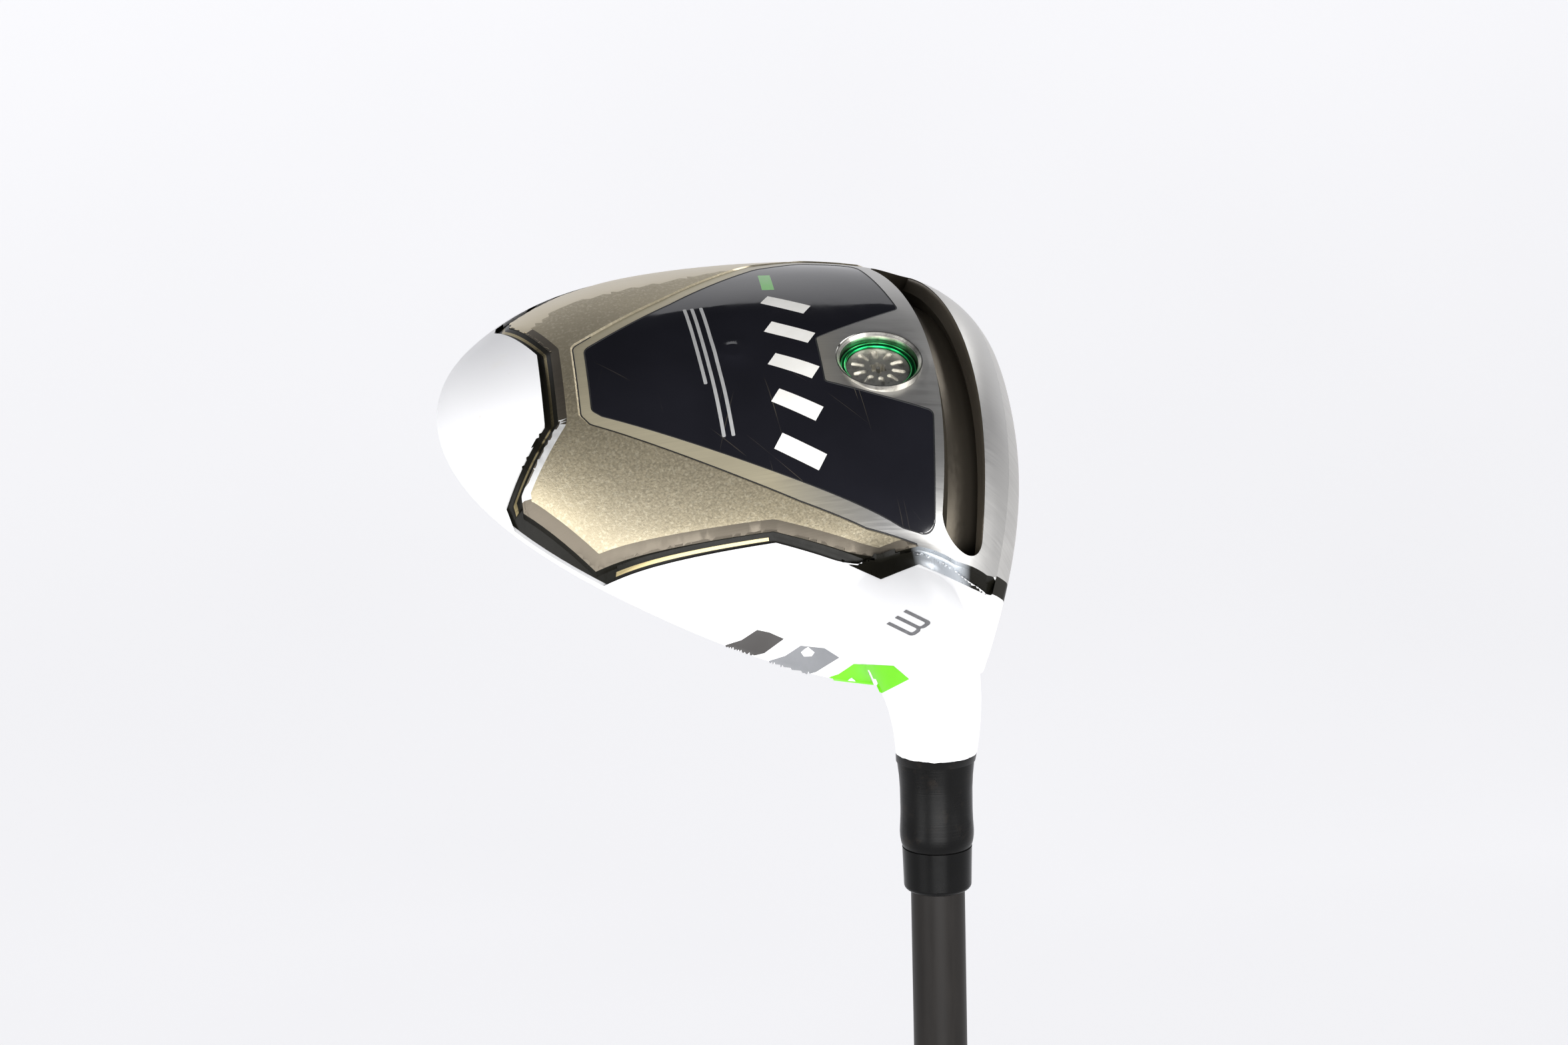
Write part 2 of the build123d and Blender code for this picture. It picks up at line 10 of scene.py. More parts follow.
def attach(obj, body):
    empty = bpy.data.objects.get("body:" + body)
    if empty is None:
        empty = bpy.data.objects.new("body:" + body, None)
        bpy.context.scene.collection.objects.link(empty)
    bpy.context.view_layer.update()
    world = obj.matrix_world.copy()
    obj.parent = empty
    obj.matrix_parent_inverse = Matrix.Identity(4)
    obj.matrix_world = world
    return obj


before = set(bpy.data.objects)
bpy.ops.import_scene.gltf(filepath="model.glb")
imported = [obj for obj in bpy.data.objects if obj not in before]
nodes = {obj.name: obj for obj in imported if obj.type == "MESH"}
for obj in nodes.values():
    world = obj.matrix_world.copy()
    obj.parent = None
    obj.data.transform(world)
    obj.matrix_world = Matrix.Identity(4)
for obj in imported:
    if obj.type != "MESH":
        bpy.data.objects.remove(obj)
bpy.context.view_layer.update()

# ------------------------------------------------------------------ the head's own frame, in mm
# x to the toe, y to the target, z up, from where the shaft axis meets the ground.
CLUB_LENGTH = 1098.5
LIE = math.radians(58.0)
LOFT = math.radians(15.0)
PORT_CENTRE = (47.5, -0.5)
HOSEL_PAINT_END = 34.5      # along the shaft's axis, back from where it meets the ground
RETURN_EDGE = 19.4          # y where the face cup's return meets the sole
FACE_POINT = (52.0, 23.2, 20.0)
TO_ROW = np.array([
    [math.sin(LIE), 0.0, math.cos(LIE)],
    [0.0, -1.0, 0.0],
    [math.cos(LIE), 0.0, -math.sin(LIE)],
])
FOOT = np.array([0.0, 0.0, CLUB_LENGTH])


def to_row(points):
    """Head frame in mm to the row's frame in metres."""
    return (np.asarray(points, float) @ TO_ROW.T + FOOT) / 1000.0


def to_head(points):
    return (np.asarray(points, float) * 1000.0 - FOOT) @ TO_ROW


UP = Vector(TO_ROW[:, 2])


def tree_of(*names):
    """A ray tree over the faces of some CAD nodes."""
    verts, faces = [], []
    for name in names:
        mesh = nodes[name].data
        base = len(verts)
        verts += [v.co.copy() for v in mesh.vertices]
        faces += [[base + i for i in p.vertices] for p in mesh.polygons]
    return BVHTree.FromPolygons(verts, faces)


body_tree = tree_of("head_body")
white_tree = tree_of("head_body", "crown_shell")
badge_tree = tree_of("sole_badge", "badge_emblem", "badge_accent")


def sole_height(tree, x, y):
    """Height of the first surface met going up from below the sole, mm."""
    hit = tree.ray_cast(Vector(to_row((x, y, -40.0))), UP, 0.1)[0]
    return None if hit is None else float(to_head(hit[:])[2])


# ------------------------------------------------------------------ outlines
def rounded(points, radii, step=0.6):
    """A closed outline with round corners, as evenly spaced points."""
    points = [np.array(p, float) for p in points]
    if not hasattr(radii, "__len__"):
        radii = [radii] * len(points)
    path = []
    for i, p in enumerate(points):
        a = points[i - 1] - p
        b = points[(i + 1) % len(points)] - p
        la, lb = np.linalg.norm(a), np.linalg.norm(b)
        a, b = a / la, b / lb
        half = math.acos(float(np.clip(a @ b, -1, 1))) / 2
        r = radii[i]
        if r <= 0 or half > 1.55:
            path.append(p)
            continue
        cut = min(r / math.tan(half), 0.45 * la, 0.45 * lb)
        r = cut * math.tan(half)
        middle = p + (a + b) / np.linalg.norm(a + b) * (r / math.sin(half))
        start, end = p + a * cut - middle, p + b * cut - middle
        turn = math.atan2(start[0] * end[1] - start[1] * end[0], float(start @ end))
        count = max(2, int(abs(turn) * r / (0.5 * step)) + 1)
        for k in range(count + 1):
            t = turn * k / count
            c, s = math.cos(t), math.sin(t)
            path.append(middle + np.array([c * start[0] - s * start[1], s * start[0] + c * start[1]]))
    return resample(path, step)


def resample(path, step):
    out = []
    for i, p in enumerate(path):
        q = path[(i + 1) % len(path)]
        n = max(1, int(math.ceil(np.linalg.norm(q - p) / step)))
        out += [p + (q - p) * k / n for k in range(n)]
    return np.array(out)


def line_distance(path, pts, closed=True):
    """Distance from each point to a path."""
    a = np.asarray(path, float)
    b = np.roll(a, -1, axis=0) if closed else a[1:]
    a = a if closed else a[:-1]
    d = b - a
    size = (d * d).sum(1) + 1e-12
    best = np.full(len(pts), 1e9)
    for lo in range(0, len(pts), 2000):
        p = pts[lo:lo + 2000, None, :]
        t = np.clip(((p - a) * d).sum(2) / size, 0, 1)
        best[lo:lo + 2000] = np.sqrt((((a + t[..., None] * d) - p) ** 2).sum(2)).min(1)
    return best


def inside(path, pts):
    x, y = pts[:, 0][:, None], pts[:, 1][:, None]
    a = np.asarray(path, float)
    b = np.roll(a, -1, axis=0)
    cross = (a[:, 1] > y) != (b[:, 1] > y)
    with np.errstate(divide="ignore", invalid="ignore"):
        at = a[:, 0] + (y - a[:, 1]) * (b[:, 0] - a[:, 0]) / (b[:, 1] - a[:, 1])
    return (cross & (x < at)).sum(1) % 2 == 1


def inset(path, amount):
    """The path moved inwards, point by point (outlines run anticlockwise or not)."""
    a = np.asarray(path, float)
    area = (a[:, 0] * np.roll(a[:, 1], -1) - np.roll(a[:, 0], -1) * a[:, 1]).sum()
    before = a - np.roll(a, 1, axis=0)
    after = np.roll(a, -1, axis=0) - a
    nb = np.stack([-before[:, 1], before[:, 0]], 1) / np.linalg.norm(before, axis=1)[:, None]
    na = np.stack([-after[:, 1], after[:, 0]], 1) / np.linalg.norm(after, axis=1)[:, None]
    n = nb + na
    n /= (n * n).sum(1)[:, None] / 2
    return a + n * amount * (1 if area > 0 else -1)


# ------------------------------------------------------------------ mesh helpers
def mesh_object(name, verts, faces, material, sharp=30.0):
    used = sorted({i for face in faces for i in face})
    place = {old: new for new, old in enumerate(used)}
    verts = [verts[i] for i in used]
    faces = [[place[i] for i in face] for face in faces]
    mesh = bpy.data.meshes.new(name)
    mesh.from_pydata([tuple(v) for v in verts], [], [tuple(f) for f in faces])
    mesh.validate()
    mesh.update()
    obj = bpy.data.objects.new(name, mesh)
    bpy.context.scene.collection.objects.link(obj)
    mesh.materials.append(material)
    mesh.shade_smooth()
    mesh.set_sharp_from_angle(angle=math.radians(sharp))
    return obj


def cut_sheet(outline, holes=(), creases=(), spacing=1.6):
    """Triangles that fill an outline but for its holes.

    Creases are further paths that get a row of vertices."""
    paths = [outline, *holes, *creases]
    pts, edges = [], []
    for path in paths:
        base = len(pts)
        pts += [tuple(p) for p in path]
        edges += [(base + i, base + (i + 1) % len(path)) for i in range(len(path))]
    lo, hi = np.min(outline, 0), np.max(outline, 0)
    rows = []
    for j, y in enumerate(np.arange(lo[1], hi[1], spacing * 0.866)):
        rows += [(x + (j % 2) * spacing / 2, y) for x in np.arange(lo[0], hi[0], spacing)]
    grid = np.array(rows)
    keep = inside(outline, grid)
    for hole in holes:
        keep &= ~inside(hole, grid)
    for path in paths:
        keep &= line_distance(path, grid) > 0.45 * spacing
    pts += [tuple(p) for p in grid[keep]]
    out = delaunay_2d_cdt([Vector(p) for p in pts], edges, [], 0, 1e-4)
    flat = np.array([tuple(v) for v in out[0]])
    tris = np.array([f for f in out[2] if len(f) == 3])
    middle = flat[tris].mean(1)
    good = inside(outline, middle)
    for hole in holes:
        good &= ~inside(hole, middle)
    one, two = flat[tris[:, 1]] - flat[tris[:, 0]], flat[tris[:, 2]] - flat[tris[:, 0]]
    area = one[:, 0] * two[:, 1] - one[:, 1] * two[:, 0]
    good &= np.abs(area) > 1e-5
    tris, area = tris[good], area[good]
    tris[area > 0] = tris[area > 0][:, ::-1]
    return flat, tris


def skin_sheet(name, outline, holes, creases, height, material, place, spacing=1.6, reach=200.0):
    """A sheet cut to an outline in plan and laid on the sole.

    height(pts) gives each vertex's height above the skin, and place(pts) the skin itself. Nothing is kept
    toe-ward of reach."""
    flat, tris = cut_sheet(outline, holes, creases, spacing)
    tris = tris[flat[tris][:, :, 0].max(1) < reach]
    z = place(flat) - height(flat)
    obj = mesh_object(name, to_row(np.column_stack([flat, z])), tris.tolist(), material)
    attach(obj, "root")
    return obj


def decal(name, outline, look, material, spacing=0.7, lift=0.06):
    """Paint thrown on to the white head along a direction; outline is points of the head frame, in mm."""
    look = np.asarray(look, float) / np.linalg.norm(look)
    across = np.cross((0.0, 0.0, 1.0), look)
    across /= np.linalg.norm(across)
    rise = np.cross(look, across)
    path = resample([np.array((p @ across, p @ rise)) for p in np.asarray(outline, float)], 0.6 * spacing)
    flat, tris = cut_sheet(path, spacing=spacing)
    way = Vector(TO_ROW @ look)
    start = np.array([to_row(across * u + rise * v - look * 60.0) for u, v in flat])
    depth, out = np.full(len(flat), np.nan), np.zeros((len(flat), 3))
    for i, place in enumerate(start):
        hit = white_tree.ray_cast(Vector(place), way, 0.3)
        if hit[0] is not None:
            depth[i] = hit[3] * 1000.0
            out[i] = -hit[1] if hit[1].dot(way) > 0 else hit[1]
    # A ray that slips past the edge, or into the seam under the crown, takes the depth of its neighbours.
    near = [[] for _ in flat]
    for a, b, c in tris:
        near[a] += [b, c]
        near[b] += [c, a]
        near[c] += [a, b]
    found = depth.copy()
    for i, others in enumerate(near):
        around = found[others]
        around = around[~np.isnan(around)]
        if len(around) > 3 and not found[i] < np.median(around) + 1.2:
            depth[i] = np.median(around)
            out[i] = np.mean(out[others], 0)
    verts = start + np.outer(depth / 1000.0, np.array(way)) + out * lift / 1000.0
    verts[np.isnan(depth)] = 0.0
    gap = depth[tris].max(1) - depth[tris].min(1)
    obj = mesh_object(name, verts, tris[gap < 5.0].tolist(), material)
    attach(obj, "root")
    return obj


def on_body(flat):
    """Skin heights under plan points, read off the CAD."""
    z = np.array([h if (h := sole_height(body_tree, x, y)) is not None else np.nan for x, y in flat])
    good = ~np.isnan(z)
    if not good.all():
        for i in np.where(~good)[0]:
            near = np.argmin(((flat[good] - flat[i]) ** 2).sum(1))
            z[i] = z[good][near]
    return z


def on_badge(flat):
    z = np.array([h if (h := sole_height(badge_tree, x, y)) is not None else np.nan for x, y in flat])
    z[np.isnan(z)] = np.nanmean(z)
    return z


# ------------------------------------------------------------------ node material helpers
class Nodes:
    """Short calls for building a node material."""

    def __init__(self, name):
        self.mat = bpy.data.materials.new(name)
        self.mat.use_nodes = True
        self.tree = self.mat.node_tree
        self.tree.nodes.clear()
        self.out = self.tree.nodes.new("ShaderNodeOutputMaterial")
        self.shader = self.tree.nodes.new("ShaderNodeBsdfPrincipled")
        self.tree.links.new(self.shader.outputs[0], self.out.inputs[0])
        self.coords = self.tree.nodes.new("ShaderNodeTexCoord").outputs["Object"]

    def put(self, socket, value):
        if isinstance(value, bpy.types.NodeSocket):
            self.tree.links.new(value, socket)
        else:
            socket.default_value = value

    def set(self, **values):
        for key, value in values.items():
            self.put(self.shader.inputs[key.replace("_", " ")], value)
        return self

    def node(self, kind, **inputs):
        node = self.tree.nodes.new(kind)
        for key, value in inputs.items():
            socket = node.inputs[int(key[1:])] if key[1:].isdigit() else node.inputs[key.replace("_", " ")]
            self.put(socket, value)
        return node

    def math(self, operation, a, b=0.0, c=0.0):
        node = self.node("ShaderNodeMath", i0=a, i1=b, i2=c)
        node.operation = operation
        return node.outputs[0]

    def ramp(self, value, *stops):
        node = self.node("ShaderNodeValToRGB", i0=value)
        ends = node.color_ramp.elements
        while len(ends) < len(stops):
            ends.new(0.5)
        for end, (at, color) in zip(ends, stops):
            end.position = at
            end.color = color if hasattr(color, "__len__") else (color, color, color, 1.0)
        return node.outputs[0]

    def span(self, value, a, b, c, d):
        node = self.node("ShaderNodeMapRange", i0=value, i1=a, i2=b, i3=c, i4=d)
        return node.outputs[0]

    def stretch(self, scale, turn=(0, 0, 0), coords=None):
        """Coordinates turned by an angle, then scaled along the turned axes."""
        node = self.node("ShaderNodeMapping", i0=coords or self.coords)
        node.vector_type = "TEXTURE"
        node.inputs["Scale"].default_value = tuple(1.0 / s for s in scale)
        node.inputs["Rotation"].default_value = turn
        return node.outputs[0]

    def noise(self, scale, detail=3.0, rough=0.5, coords=None):
        node = self.node("ShaderNodeTexNoise", Vector=coords or self.coords, Scale=scale, Detail=detail)
        node.inputs["Roughness"].default_value = rough
        return node.outputs["Fac"]

    def mix(self, factor, a, b):
        node = self.tree.nodes.new("ShaderNodeMix")
        node.data_type = "RGBA"
        self.put(node.inputs[0], factor)
        self.put(node.inputs[6], a if isinstance(a, bpy.types.NodeSocket) else rgba(a))
        self.put(node.inputs[7], b if isinstance(b, bpy.types.NodeSocket) else rgba(b))
        return node.outputs[2]

    def dot(self, axis, offset):
        """Distance along an axis of the row frame, from the row's origin, less an offset, in mm."""
        node = self.node("ShaderNodeVectorMath", i0=self.coords, i1=tuple(axis))
        node.operation = "DOT_PRODUCT"
        return self.math("SUBTRACT", self.math("MULTIPLY", node.outputs["Value"], 1000.0), offset)

    def bump(self, height, strength, distance=0.0002, normal=None):
        node = self.node("ShaderNodeBump", Height=height, Strength=strength, Distance=distance)
        if normal is not None:
            self.put(node.inputs["Normal"], normal)
        return node.outputs[0]


def rgba(color):
    return (*color, 1.0) if len(color) == 3 else tuple(color)


# Turns the row's axes to the head's: heel-to-toe, then front-to-back.
SOLE_TURN = (0.0, LIE - math.pi / 2, 0.0)


def head_coordinate(n, axis):
    """The head frame's x, y or z at a shaded point, in mm."""
    return n.dot(TO_ROW[:, axis], float(FOOT @ TO_ROW[:, axis]))


# ------------------------------------------------------------------ materials
def painted(name):
    """White paint with a little stain, chips and orange peel: its nodes, colour, roughness and normal."""
    n = Nodes(name)
    stain = n.ramp(n.noise(55.0, 5.0, 0.65), (0.62, 0.0), (0.74, 1.0))
    chips = n.ramp(n.noise(260.0, 4.0, 0.6), (0.70, 0.0), (0.73, 1.0))
    base = n.mix(n.math("MULTIPLY", stain, 0.10), (0.88, 0.88, 0.89), (0.86, 0.78, 0.56))
    base = n.mix(n.math("MULTIPLY", chips, 0.25), base, (0.70, 0.66, 0.56))
    rough = n.span(n.noise(180.0), 0.3, 0.7, 0.32, 0.42)
    normal = n.bump(n.noise(700.0, 2.0), 0.05)
    return n, base, rough, normal


def white_paint():
    n, base, rough, normal = painted("white_paint")
    n.set(Base_Color=base, Roughness=rough, Normal=normal, Metallic=0.0, Specular_IOR_Level=0.35)
    return n.mat


def hosel_paint():
    """White down to a ragged edge on the neck, then worn black with fine turned lines."""
    n, base, rough, normal = painted("white_paint_hosel")
    along = n.dot((0, 0, 1), 0.0)
    ragged = n.math("MULTIPLY", n.math("SUBTRACT", n.noise(420.0, 4.0), 0.5), 0.7)
    bare = n.math("LESS_THAN", n.math("ADD", along, ragged), CLUB_LENGTH - HOSEL_PAINT_END)
    lines = n.noise(1.0, 3.0, 0.6, n.stretch((60, 60, 5200)))
    worn = n.ramp(n.noise(300.0, 5.0, 0.7), (0.56, 0.0), (0.70, 1.0))
    black = n.mix(n.math("MULTIPLY", worn, 0.5), (0.0025, 0.0025, 0.0025), (0.016, 0.012, 0.009))
    both = n.tree.nodes.new("ShaderNodeMix")
    both.data_type = "VECTOR"
    n.put(both.inputs[0], bare)
    n.put(both.inputs[4], normal)
    n.put(both.inputs[5], n.bump(lines, 0.10))
    n.set(Base_Color=n.mix(bare, base, black), Metallic=0.0, Normal=both.outputs[1],
          Roughness=n.math("SUBTRACT", rough, n.math("MULTIPLY", bare, 0.06)),
          Specular_IOR_Level=n.math("SUBTRACT", 0.35, n.math("MULTIPLY", bare, 0.22)))
    return n.mat


def face_and_return():
    """Face cup: bare steel on the face and between the paint lines at heel and toe, white elsewhere."""
    n, base, rough, _ = painted("face_and_return")
    x, y, z = [head_coordinate(n, axis) for axis in range(3)]
    ahead = n.math("SUBTRACT", y, RETURN_EDGE)
    lean = n.math("ADD", n.math("MULTIPLY", n.math("MINIMUM", ahead, 0.0), -0.465),
                  n.math("MULTIPLY", n.math("MAXIMUM", ahead, 0.0), -0.06))
    leaning = n.math("ADD", x, lean)
    bare = n.math("MULTIPLY", n.math("GREATER_THAN", leaning, 16.4), n.math("LESS_THAN", x, 93.6))
    band = n.math("MULTIPLY", n.math("GREATER_THAN", leaning, 14.7), n.math("LESS_THAN", x, 96.0))
    off_x, off_y, off_z = [n.math("SUBTRACT", c, mark) for c, mark in zip((x, y, z), FACE_POINT)]
    plane = n.math("ADD", n.math("MULTIPLY", off_y, math.cos(LOFT)),
                   n.math("MULTIPLY", off_z, math.sin(LOFT)))
    reach = n.math("ADD", n.math("POWER", off_x, 2.0), n.math("POWER", off_z, 2.0))
    bulge = n.math("MULTIPLY", reach, 1 / 600.0)
    on_face = n.math("GREATER_THAN", n.math("ADD", plane, bulge), -0.35)
    low = n.math("LESS_THAN", z, 31.0)
    steel = n.math("MAXIMUM", n.math("MULTIPLY", bare, low), on_face)
    # Where the groove runs across the cup it is coloured near black: a painted dark reflection.
    groove = n.math("MULTIPLY", n.math("MULTIPLY", band, low), n.math("SUBTRACT", 1.0, steel))
    grain = n.noise(1.0, 4.0, 0.6, n.stretch((3600, 70, 70), SOLE_TURN))
    base = n.mix(steel, base, n.mix(grain, (0.50, 0.49, 0.47), (0.68, 0.67, 0.65)))
    n.set(Base_Color=n.mix(groove, base, (0.03, 0.028, 0.022)), Metallic=n.math("MAXIMUM", steel, groove),
          Roughness=n.math("ADD", n.math("MULTIPLY", steel, 0.10), rough),
          Normal=n.bump(grain, 0.08), Specular_IOR_Level=0.35)
    return n.mat


def blasted_bronze():
    n = Nodes("bronze_blasted")
    cloud = n.noise(38.0, 3.0, 0.55)
    grain = n.noise(2600.0, 2.0, 0.5)
    speck = n.ramp(n.noise(1500.0, 2.0, 0.6), (0.52, 0.0), (0.64, 1.0))
    base = n.mix(cloud, (0.38, 0.335, 0.25), (0.52, 0.45, 0.30))
    base = n.mix(n.math("MULTIPLY", speck, 0.35), base, (0.70, 0.64, 0.48))
    n.set(Base_Color=base, Metallic=0.85, Roughness=n.span(grain, 0.3, 0.7, 0.40, 0.56),
          Normal=n.bump(grain, 0.35, 0.0001))
    return n.mat


def satin_metal(name, low, high, rough, bump=0.10):
    n = Nodes(name)
    grain = n.noise(1.0, 5.0, 0.62, n.stretch((4200, 110, 110), SOLE_TURN))
    cloud = n.noise(45.0, 3.0)
    base = n.mix(grain, low, high)
    brushed = n.span(grain, 0.3, 0.7, rough, rough + 0.10)
    n.set(Base_Color=base, Metallic=1.0, Normal=n.bump(grain, bump, 0.0001),
          Roughness=n.math("ADD", brushed, n.math("MULTIPLY", cloud, 0.05)))
    return n.mat


def frame_satin():
    """Brushed frame: bronze at the back of the badge, bare steel at its front."""
    n = Nodes("frame_satin")
    grain = n.noise(1.0, 5.0, 0.62, n.stretch((4200, 110, 110), SOLE_TURN))
    front = n.span(head_coordinate(n, 1), -22.0, -4.0, 0.0, 1.0)
    steel = n.mix(grain, (0.44, 0.435, 0.42), (0.58, 0.57, 0.55))
    bronze = n.mix(grain, (0.46, 0.41, 0.29), (0.60, 0.54, 0.38))
    n.set(Base_Color=n.mix(front, bronze, steel), Metallic=n.span(front, 0.0, 1.0, 0.55, 0.95),
          Roughness=n.span(grain, 0.3, 0.7, 0.34, 0.44), Normal=n.bump(grain, 0.10, 0.0001))
    return n.mat


def polished_groove():
    n = Nodes("groove_polished")
    smear = n.noise(1.0, 4.0, 0.6, n.stretch((60, 900, 900), SOLE_TURN))
    haze = n.noise(90.0, 3.0)
    x, y = head_coordinate(n, 0), head_coordinate(n, 1)
    # A pale band near the heel, from y 0 to 11 and heel-ward of x 17, is a painted highlight.
    gleam = n.math("MULTIPLY", n.span(y, 0.0, 3.5, 0.0, 1.0), n.span(y, 8.0, 11.0, 1.0, 0.0))
    gleam = n.math("MULTIPLY", gleam, n.math("LESS_THAN", x, 17.0))
    # The polished groove's own colour is set near black: a painted dark reflection.
    base = n.mix(haze, (0.004, 0.004, 0.003), (0.012, 0.011, 0.008))
    n.set(Base_Color=n.mix(gleam, base, (0.62, 0.66, 0.70)), Metallic=n.math("MULTIPLY", gleam, 0.6),
          Roughness=n.span(smear, 0.3, 0.7, 0.24, 0.34), Normal=n.bump(smear, 0.05), Specular_IOR_Level=0.10)
    return n.mat


def slot_metal():
    n = Nodes("slot_satin")
    along = n.noise(1.0, 4.0, 0.6, n.stretch((60, 1500, 1500), SOLE_TURN))
    y = head_coordinate(n, 1)
    # The slot's back side, toward the badge, is coloured darker than its front: painted shade.
    edge = n.span(y, 7.0, 16.0, 0.0, 1.0)
    base = n.mix(edge, (0.070, 0.060, 0.044), (0.24, 0.21, 0.17))
    base = n.mix(n.math("MULTIPLY", along, 0.5), base, (0.16, 0.14, 0.11))
    n.set(Base_Color=base, Metallic=0.8, Roughness=n.span(along, 0.3, 0.7, 0.30, 0.44),
          Normal=n.bump(along, 0.08))
    return n.mat


def gloss_black(name, scratched=True, color=(0.006, 0.006, 0.008), rough=0.05, shine=0.5):
    n = Nodes(name)
    base = n.mix(n.noise(60.0), color, tuple(2.2 * c for c in color))
    rubbed = n.noise(70.0, 4.0, 0.6)
    roughness = n.span(rubbed, 0.45, 0.75, rough, rough + 0.12)
    normal = n.bump(n.noise(900.0, 2.0), 0.01)
    if scratched:
        marks = None
        flat = n.stretch((1, 1, 1), SOLE_TURN)
        for turn, spread, cut in ((0.12, 2100, 0.715), (-0.32, 1500, 0.735), (0.75, 2600, 0.730)):
            line = n.noise(1.0, 1.5, 0.5, n.stretch((24, spread, 24), (0, 0, turn), flat))
            line = n.ramp(line, (cut, 0.0), (cut + 0.02, 1.0))
            marks = line if marks is None else n.math("MAXIMUM", marks, line)
        patch = n.ramp(n.noise(42.0, 3.0), (0.50, 0.0), (0.66, 1.0))
        marks = n.math("MULTIPLY", marks, patch)
        base = n.mix(n.math("MULTIPLY", marks, 0.16), base, (0.42, 0.36, 0.24))
        normal = n.bump(marks, 0.08, 0.0001, normal)
    n.set(Base_Color=base, Roughness=roughness, Normal=normal, Specular_IOR_Level=shine)
    return n.mat


def plain_finish(name, low, high, rough, metallic=0.0, scale=300.0, bump=0.05, coat=0.0):
    n = Nodes(name)
    cloud = n.noise(scale, 4.0, 0.6)
    n.set(Base_Color=n.mix(cloud, low, high), Metallic=metallic,
          Roughness=n.span(cloud, 0.3, 0.7, rough, rough + 0.12),
          Normal=n.bump(n.noise(scale * 6, 2.0), bump, 0.0001))
    if coat:
        n.set(Coat_Weight=coat, Coat_Roughness=0.05)
    return n.mat


def turned_metal(name, low, high, rough):
    """Fine rings about the port's axis."""
    n = Nodes(name)
    centre = to_row((*PORT_CENTRE, 0.0))
    local = n.node("ShaderNodeVectorMath", i0=n.coords, i1=tuple(centre))
    local.operation = "SUBTRACT"
    u = n.node("ShaderNodeVectorMath", i0=local.outputs[0], i1=tuple(TO_ROW[:, 0]))
    u.operation = "DOT_PRODUCT"
    v = n.node("ShaderNodeVectorMath", i0=local.outputs[0], i1=tuple(TO_ROW[:, 1]))
    v.operation = "DOT_PRODUCT"
    radius = n.math("SQRT", n.math("ADD", n.math("POWER", u.outputs["Value"], 2.0),
                                   n.math("POWER", v.outputs["Value"], 2.0)))
    rings = n.node("ShaderNodeTexNoise", Scale=1.0, Detail=3.0)
    rings.noise_dimensions = "1D"
    n.put(rings.inputs["W"], n.math("MULTIPLY", radius, 9000.0))
    grime = n.ramp(n.noise(700.0, 4.0, 0.6), (0.5, 0.0), (0.68, 1.0))
    base = n.mix(rings.outputs["Fac"], low, high)
    base = n.mix(n.math("MULTIPLY", grime, 0.45), base, (0.10, 0.085, 0.06))
    n.set(Base_Color=base, Metallic=1.0, Normal=n.bump(rings.outputs["Fac"], 0.08, 0.0001),
          Roughness=n.span(rings.outputs["Fac"], 0.3, 0.7, rough, rough + 0.12))
    return n.mat


def shaft_lacquer():
    n = Nodes("shaft_lacquer")
    weave = n.noise(1.0, 4.0, 0.6, n.stretch((900, 900, 90)))
    base = n.mix(weave, (0.009, 0.008, 0.0075), (0.016, 0.014, 0.0125))
    n.set(Base_Color=base, Roughness=n.span(weave, 0.3, 0.7, 0.36, 0.46), Specular_IOR_Level=0.14,
          Normal=n.bump(weave, 0.04))
    return n.mat


def grip_rubber():
    n = Nodes("grip_rubber")
    speck = n.noise(2400.0, 2.0)
    worn = n.noise(35.0, 4.0, 0.6)
    base = n.mix(worn, (0.012, 0.012, 0.013), (0.030, 0.030, 0.031))
    cells = n.node("ShaderNodeTexVoronoi", Vector=n.coords, Scale=420.0)
    dimple = n.span(cells.outputs["Distance"], 0.1, 0.5, 1.0, 0.0)
    n.set(Base_Color=base, Roughness=n.span(speck, 0.3, 0.7, 0.62, 0.78),
          Normal=n.bump(speck, 0.15, 0.0001, n.bump(dimple, 0.35, 0.0003)))
    return n.mat


WHITE = white_paint()
WHITE_HOSEL = hosel_paint()
WHITE_CUP = face_and_return()
BRONZE = blasted_bronze()
SILVER = frame_satin()
# Pale silver for a stretch of the panels' outer edge: a painted highlight.
PAINTED_EDGE_HIGHLIGHT = plain_finish("edge_painted_highlight", (0.60, 0.60, 0.59), (0.80, 0.80, 0.79), 0.48, 0.6, 900.0)
BEVEL = satin_metal("bevel_satin", (0.46, 0.40, 0.28), (0.60, 0.53, 0.39), 0.26)
RIM = satin_metal("rim_satin", (0.14, 0.122, 0.095), (0.20, 0.175, 0.14), 0.46, 0.05)
GROOVE = polished_groove()
GLINT = satin_metal("groove_glint", (0.20, 0.165, 0.085), (0.34, 0.28, 0.15), 0.22, 0.05)
SLOT = slot_metal()
BADGE = gloss_black("badge_black")
FERRULE = gloss_black("ferrule_black", False, (0.002, 0.002, 0.002), 0.22, 0.12)
EMBLEM = plain_finish("emblem_white", (0.78, 0.76, 0.70), (0.90, 0.89, 0.86), 0.28)
ACCENT = plain_finish("accent_green", (0.06, 0.42, 0.02), (0.10, 0.55, 0.03), 0.28, coat=0.5)
RING = turned_metal("ring_anodised", (0.005, 0.30, 0.07), (0.02, 0.48, 0.14), 0.18)
SCREW = turned_metal("screw_steel", (0.62, 0.60, 0.54), (0.84, 0.82, 0.76), 0.34)
PORT = turned_metal("port_steel", (0.46, 0.44, 0.39), (0.70, 0.68, 0.63), 0.22)
LINE = plain_finish("line_dark", (0.012, 0.012, 0.013), (0.030, 0.030, 0.032), 0.45, 0.3)
RULE = plain_finish("rule_silver", (0.42, 0.42, 0.42), (0.56, 0.56, 0.55), 0.35, 0.3)
FLASH_GREEN = plain_finish("flash_green", (0.13, 0.60, 0.004), (0.17, 0.68, 0.008), 0.40)
